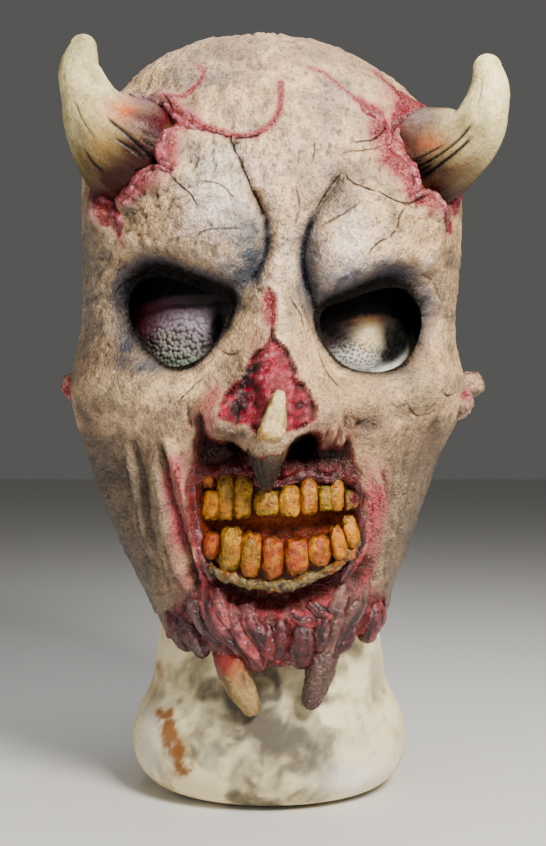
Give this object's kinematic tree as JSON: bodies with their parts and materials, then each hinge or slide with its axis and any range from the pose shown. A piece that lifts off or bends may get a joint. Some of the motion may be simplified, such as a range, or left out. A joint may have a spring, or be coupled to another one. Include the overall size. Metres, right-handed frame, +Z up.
{
  "type": "horror mask on display head",
  "caption": "Full-head horned horror mask with open eye holes, bared teeth and ragged hem, worn by a plain head form whose flared neck it stands on.",
  "frame": {"origin": "centre of the display head's flat underside, where the part stands", "axes": "+Z up from the neck to the crown, the face looks towards -Y, +X to the right seen from in front"},
  "size_m": [0.2202, 0.234, 0.392],
  "materials": {
    "latex_skin": "slush-cast latex, painted putty beige with grey-brown mottling, black-blue shadows, crimson wounds and ochre teeth, satin",
    "foam_form": "expanded foam, off-white, soiled with grey mottling and an orange-brown stain, matt"
  },
  "bodies": {
    "root": {"mask": "latex_skin", "display_head": "foam_form"}
  },
  "joints": []
}
